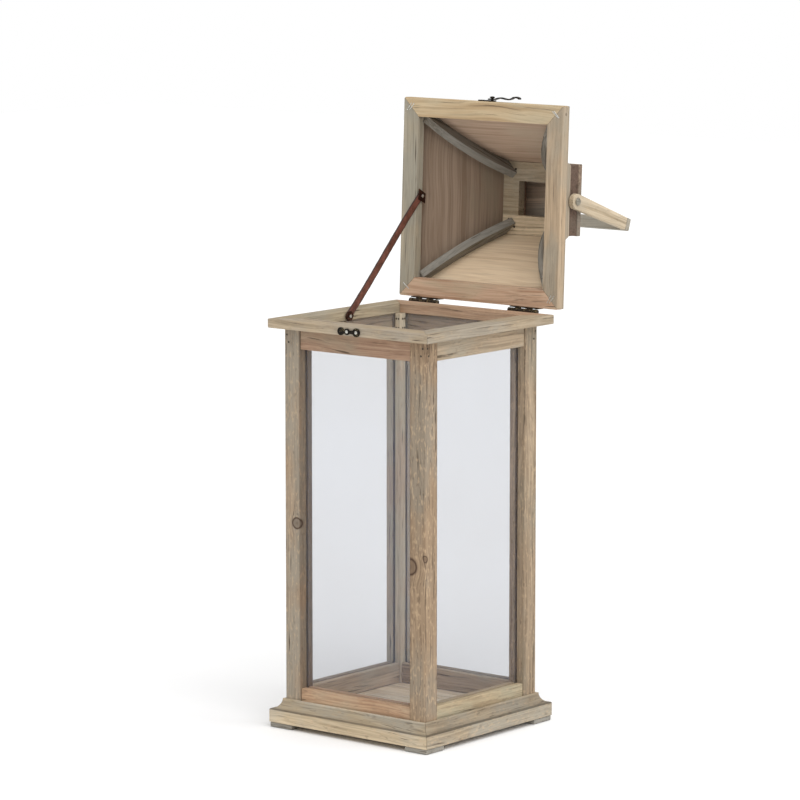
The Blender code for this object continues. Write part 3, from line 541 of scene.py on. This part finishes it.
# ---------------------------------------------------------------- the leather stay
STRAP_WIDTH = 0.0090
STRAP_THICKNESS = 0.0015
STRAP_OVERHANG = 0.0042       # past the screw at each end
GAP = 0.0003                  # between pieces that touch
STRAP_LOW = (-0.0064, 0.4113)    # y and z of the screw on the rim
STRAP_HIGH = (0.1038, 0.0054)    # from the lid's back edge, and above its underside
strap_low = on_body(-RIM_INNER + GAP + STRAP_THICKNESS / 2, *STRAP_LOW)
strap_high = on_lid(-LID_INNER + GAP + STRAP_THICKNESS / 2, *STRAP_HIGH)


def strap_mesh():
    """A flat strap with rounded edges and ends, easing sideways to the lid's frame near its top."""
    run = Vector((0, strap_high.y - strap_low.y, strap_high.z - strap_low.z))
    length = run.length
    along = run.normalized()
    across = Vector((0, -along.z, along.y))
    bm = bmesh.new()
    edge_layer = bm.verts.layers.float.new("edge")
    profile = [(-1, 0), (-0.93, -0.75), (-0.6, -1), (0, -1.06), (0.6, -1), (0.93, -0.75),
               (1, 0), (0.93, 0.75), (0.6, 1), (0, 1.06), (-0.6, 1), (-0.93, 0.75)]
    steps = 110
    rings = []
    for i in range(steps + 1):
        d = -STRAP_OVERHANG + (length + 2 * STRAP_OVERHANG) * i / steps
        t = min(1.0, max(0.0, (d / length - 0.05) / 0.90))
        x = strap_low.x + (strap_high.x - strap_low.x) * t * t * (3 - 2 * t)
        centre = Vector((x, strap_low.y, strap_low.z)) + along * d
        end = min(d + STRAP_OVERHANG, length + STRAP_OVERHANG - d)
        half_width = STRAP_WIDTH / 2
        if end < half_width:
            half_width *= max(0.35, math.sqrt(1 - (1 - end / half_width) ** 2))
        half_width *= 1 + 0.018 * math.sin(d * 310) + 0.012 * math.sin(d * 743 + 1.0)
        ring = []
        for w, t2 in profile:
            v = bm.verts.new(centre + across * (w * half_width)
                             + X * (t2 * STRAP_THICKNESS / 2))
            v[edge_layer] = abs(w)
            ring.append(v)
        rings.append(ring)
    for a, b in zip(rings, rings[1:]):
        for i in range(len(profile)):
            j = (i + 1) % len(profile)
            bm.faces.new((a[i], a[j], b[j], b[i]))
    bm.faces.new(rings[0])
    bm.faces.new(rings[-1])
    bmesh.ops.recalc_face_normals(bm, faces=bm.faces)
    mesh = bpy.data.meshes.new("leather_stay")
    bm.to_mesh(mesh)
    bm.free()
    mesh.shade_smooth()
    return mesh


stay = bpy.data.objects.new("leather_stay", strap_mesh())
bpy.context.scene.collection.objects.link(stay)
stay.data.materials.append(waxed_leather("waxed_harness_leather"))
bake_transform(stay)
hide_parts("strap")


# ---------------------------------------------------------------- nails, screws and staples
def fastener_tree(name, staple=False):
    """Points become fasteners. Each point's facing is its head's way out, and its lie its turn."""
    tree = bpy.data.node_groups.new(name, "GeometryNodeTree")
    face = tree.interface
    face.new_socket("Geometry", in_out="INPUT", socket_type="NodeSocketGeometry")
    names = ("Crown Length", "Wire Radius") if staple else ("Head Radius", "Head Height")
    for label in names:
        face.new_socket(label, in_out="INPUT", socket_type="NodeSocketFloat")
    face.new_socket("Material", in_out="INPUT", socket_type="NodeSocketMaterial")
    face.new_socket("Geometry", in_out="OUTPUT", socket_type="NodeSocketGeometry")
    given = add_node(tree, "NodeGroupInput").outputs
    facing = add_node(tree, "GeometryNodeInputNamedAttribute", {"Name": "facing"},
                      data_type="FLOAT_VECTOR").outputs[0]
    lie = add_node(tree, "GeometryNodeInputNamedAttribute", {"Name": "lie"},
                   data_type="FLOAT_VECTOR").outputs[0]
    if staple:
        half = add_node(tree, MATH, {0: given[1], 1: 0.5}, operation="MULTIPLY").outputs[0]
        back = add_node(tree, MATH, {0: given[1], 1: -0.5}, operation="MULTIPLY").outputs[0]
        start = add_node(tree, "ShaderNodeCombineXYZ", {0: back}).outputs[0]
        stop = add_node(tree, "ShaderNodeCombineXYZ", {0: half}).outputs[0]
        crown = add_node(tree, "GeometryNodeCurvePrimitiveLine", {"Start": start, "End": stop})
        wire = add_node(tree, "GeometryNodeCurvePrimitiveCircle", {
            "Resolution": 8, "Radius": given[2]})
        shape = add_node(tree, "GeometryNodeCurveToMesh", {
            "Curve": crown.outputs[0], "Profile Curve": wire.outputs[0], "Fill Caps": True}).outputs[0]
    else:
        smaller = add_node(tree, MATH, {0: given[1], 1: 0.62}, operation="MULTIPLY").outputs[0]
        shape = add_node(tree, "GeometryNodeMeshCone", {
            "Vertices": 12, "Radius Top": smaller, "Radius Bottom": given[1],
            "Depth": given[2]}).outputs["Mesh"]
    lifted = add_node(tree, "FunctionNodeAlignEulerToVector", {"Vector": facing}, axis="Z")
    turned = add_node(tree, "FunctionNodeAlignEulerToVector", {
        "Rotation": lifted.outputs[0], "Vector": lie}, axis="X", pivot_axis="Z")
    placed = add_node(tree, "GeometryNodeInstanceOnPoints", {
        "Points": given[0], "Instance": shape, "Rotation": turned.outputs[0]})
    real = add_node(tree, "GeometryNodeRealizeInstances", {0: placed.outputs[0]})
    done = add_node(tree, "GeometryNodeSetMaterial", {
        "Geometry": real.outputs[0], "Material": given[3]})
    add_node(tree, "NodeGroupOutput", {0: done.outputs[0]})
    return tree


def fasten(name, tree, points, sizes, finish, body):
    """Runs a fastener tree over points and keeps the result as one plain mesh on a body."""
    seeds = bpy.data.meshes.new(name + "_points")
    seeds.from_pydata([tuple(p) for p, _, _ in points], [], [])
    for label, which in (("facing", 1), ("lie", 2)):
        layer = seeds.attributes.new(label, "FLOAT_VECTOR", "POINT")
        for i, point in enumerate(points):
            layer.data[i].vector = point[which]
    holder = bpy.data.objects.new(name + "_seeds", seeds)
    bpy.context.scene.collection.objects.link(holder)
    step = holder.modifiers.new("fasteners", "NODES")
    step.node_group = tree
    sockets = [s for s in tree.interface.items_tree if s.in_out == "INPUT"]
    for socket, value in zip(sockets[1:], (*sizes, finish)):
        step[socket.identifier] = value
    graph = bpy.context.evaluated_depsgraph_get()
    mesh = bpy.data.meshes.new_from_object(holder.evaluated_get(graph), depsgraph=graph)
    bpy.data.objects.remove(holder, do_unlink=True)
    mesh.name = name
    mesh.shade_smooth()
    mesh.set_sharp_from_angle(angle=math.radians(35))
    made = bpy.data.objects.new(name, mesh)
    bpy.context.scene.collection.objects.link(made)
    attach(made, body)


heads = fastener_tree("round_heads")
crowns = fastener_tree("staple_crowns", staple=True)
nail_steel = dulled_steel("rusted_nail", "3E3830", "6A6258", 0.6)
zinc = dulled_steel("pale_zinc_screw", "A8A498", "DAD8D0", 0.4)
staple_wire = dulled_steel("galvanised_staple_wire", "B9B9B4", "EDEDE8", 0.35)
brass_screw = antique_bronze("bronze_screw_head", "4A3E2C", "A08C5E", 0.4, 0.42)

# Two nails through the top of each post's outer faces, and more where a post meets the rim inside
nails = []
outer_face, inner_face = POST_OUTER + 0.0001, POST_INNER - 0.0001
for sx, sy in ((-1, -1), (1, -1), (1, 1), (-1, 1)):
    for u, z in ((0.0868, 0.4000), (0.0846, 0.3925)):
        nails.append((on_body(sx * u, sy * outer_face, z), Y * sy, X * sy))
        nails.append((on_body(sx * outer_face, sy * u, z), X * sx, Y * sx))
    for u in (0.0735, 0.0765):
        for z in (0.4010, 0.3915):
            nails.append((on_body(sx * u, sy * inner_face, z), -Y * sy, X))
            nails.append((on_body(sx * inner_face, sy * u, z), -X * sx, Y))
fasten("post_nails", heads, nails, (0.0011, 0.0004), nail_steel, "body")

# Pale screws through the stay's plates and the catch
pale_screws = []
PLATE_THICKNESS = 0.0010
top_of_plate = GAP + STRAP_THICKNESS + GAP + PLATE_THICKNESS + 0.0012
pale_screws.append((on_body(-RIM_INNER + top_of_plate, *STRAP_LOW), X, Y))
for x in (0.0022, 0.0140):
    pale_screws.append((on_body(x, -RIM_HALF - 0.0017, 0.4112), -Y, X))
fasten("stay_and_catch_screws", heads, pale_screws, (0.0017, 0.0004), zinc, "body")
fasten("stay_top_screw", heads, [(on_lid(-LID_INNER + top_of_plate, *STRAP_HIGH), X, Y)],
       (0.0019, 0.0004), zinc, "lid")

# Nails at the corners of the neck frame, and through the grip into the arms
lid_nails = []
for sx in (-1, 1):
    for sa in (-1, 1):
        for u, v in ((0.0225, 0.0300), (0.0300, 0.0225)):
            lid_nails.append((on_lid(sx * u, RIM_HALF + sa * v, NECK_UNDERSIDE - 0.00007),
                              -LID_OUT, X))
fasten("lid_nails", heads, lid_nails, (0.0013, 0.0004), nail_steel, "lid")

ARM_MIDDLE = 0.0418
grip_face = on_lid(0, PIVOT_A, PIVOT_N) + HANDLE_OUT * (GRIP_OUT + 0.00015)
handle_side = HANDLE_OUT.cross(X)
grip_nails = []
for sx in (-1, 1):
    for off in (-0.0032, 0.0032):
        grip_nails.append((grip_face + X * (sx * ARM_MIDDLE) + handle_side * off, HANDLE_OUT, X))
fasten("grip_nails", heads, grip_nails, (0.0011, 0.0004), nail_steel, "handle")

# Staples across the mitres under the lid's frame, a little askew as a gun leaves them
rng = random.Random(7)
staples = []
for sx, a, count, tilt in ((-1, 0.1955, 2, 55), (1, 0.1960, 2, -42), (-1, 0.0105, 1, -38),
                           (1, 0.0100, 2, 60)):
    for i in range(count):
        turn = math.radians(tilt + rng.uniform(-6, 6))
        lie = X * math.cos(turn) + LID_DOWN * math.sin(turn)
        off = (i - (count - 1) / 2) * (0.0034 if tilt > 0 else 0.0017)
        staples.append((on_lid(sx * 0.0935 + off, a, -0.00015), -LID_OUT, lie))
fasten("mitre_staples", crowns, staples, (0.0095, 0.00042), staple_wire, "lid")

# Three countersunk screws in each hinge leaf
LEAF_FACE = 0.00135           # of the leaves, behind the rim's and the lid's back edges
for side, x0 in HINGE_X.items():
    rim_screws = []
    lid_screws = []
    for dx in (-0.0125, 0.0, 0.0125):
        rim_screws.append((on_body(x0 + dx, RIM_HALF + LEAF_FACE, 0.4108), Y, X))
        lid_screws.append((on_lid(x0 + dx, -LEAF_FACE, 0.0052), -LID_DOWN, X))
    fasten("rim_leaf_screws_" + side, heads, rim_screws, (0.0021, 0.0006), brass_screw, "body")
    fasten("lid_leaf_screws_" + side, heads, lid_screws, (0.0021, 0.0006), brass_screw, "lid")


# ---------------------------------------------------------------- floor, light and camera
floor_mesh = bpy.data.meshes.new("studio_floor")
FLOOR_HALF, FLOOR_LEVEL = 6.0, -0.0005
floor_mesh.from_pydata([(x * FLOOR_HALF, y * FLOOR_HALF, FLOOR_LEVEL)
                        for x, y in ((-1, -1), (1, -1), (1, 1), (-1, 1))], [], [(0, 1, 2, 3)])
floor = bpy.data.objects.new("studio_floor", floor_mesh)
bpy.context.scene.collection.objects.link(floor)
floor_paint, _, floor_shader = new_material("white_backdrop_paper")
floor_shader.inputs["Base Color"].default_value = (0.98, 0.98, 0.98, 1)
floor_shader.inputs["Roughness"].default_value = 0.9
floor.data.materials.append(floor_paint)

world = bpy.data.worlds.new("white_studio")
world.use_nodes = True
sky = world.node_tree.nodes["Background"]
sky.inputs["Color"].default_value = (1.0, 1.0, 1.0, 1)
# The paper behind is lit to pure white, while the lantern gets a softer share of it
seen = add_node(world.node_tree, "ShaderNodeLightPath").outputs["Is Camera Ray"]
strength = add_node(world.node_tree, "ShaderNodeMapRange", {0: seen, 3: 0.66, 4: 1.0}).outputs[0]
world.node_tree.links.new(strength, sky.inputs["Strength"])
bpy.context.scene.world = world

# One broad bank of lights high on the right, so that right faces are the brightest
bank = bpy.data.lights.new("light_bank", "SUN")
bank.energy = 2.1
bank.angle = math.radians(70)
bank_object = bpy.data.objects.new("light_bank", bank)
bank_object.rotation_euler = Vector((0.60, -0.22, 0.78)).to_track_quat("Z", "Y").to_euler()
bpy.context.scene.collection.objects.link(bank_object)

camera_data = bpy.data.cameras.new("camera")
camera_data.lens = 187.9
camera_data.sensor_width = 36.0
camera_data.clip_end = 50
camera = bpy.data.objects.new("camera", camera_data)
bpy.context.scene.collection.objects.link(camera)
camera.location = on_body(2.6054, -3.2319, 0.9375)
view_to = on_body(-0.0143, -0.00024, 0.3303)
camera.rotation_euler = (view_to - camera.location).to_track_quat("-Z", "Y").to_euler()
bpy.context.scene.camera = camera
bpy.context.scene.view_settings.view_transform = "Standard"
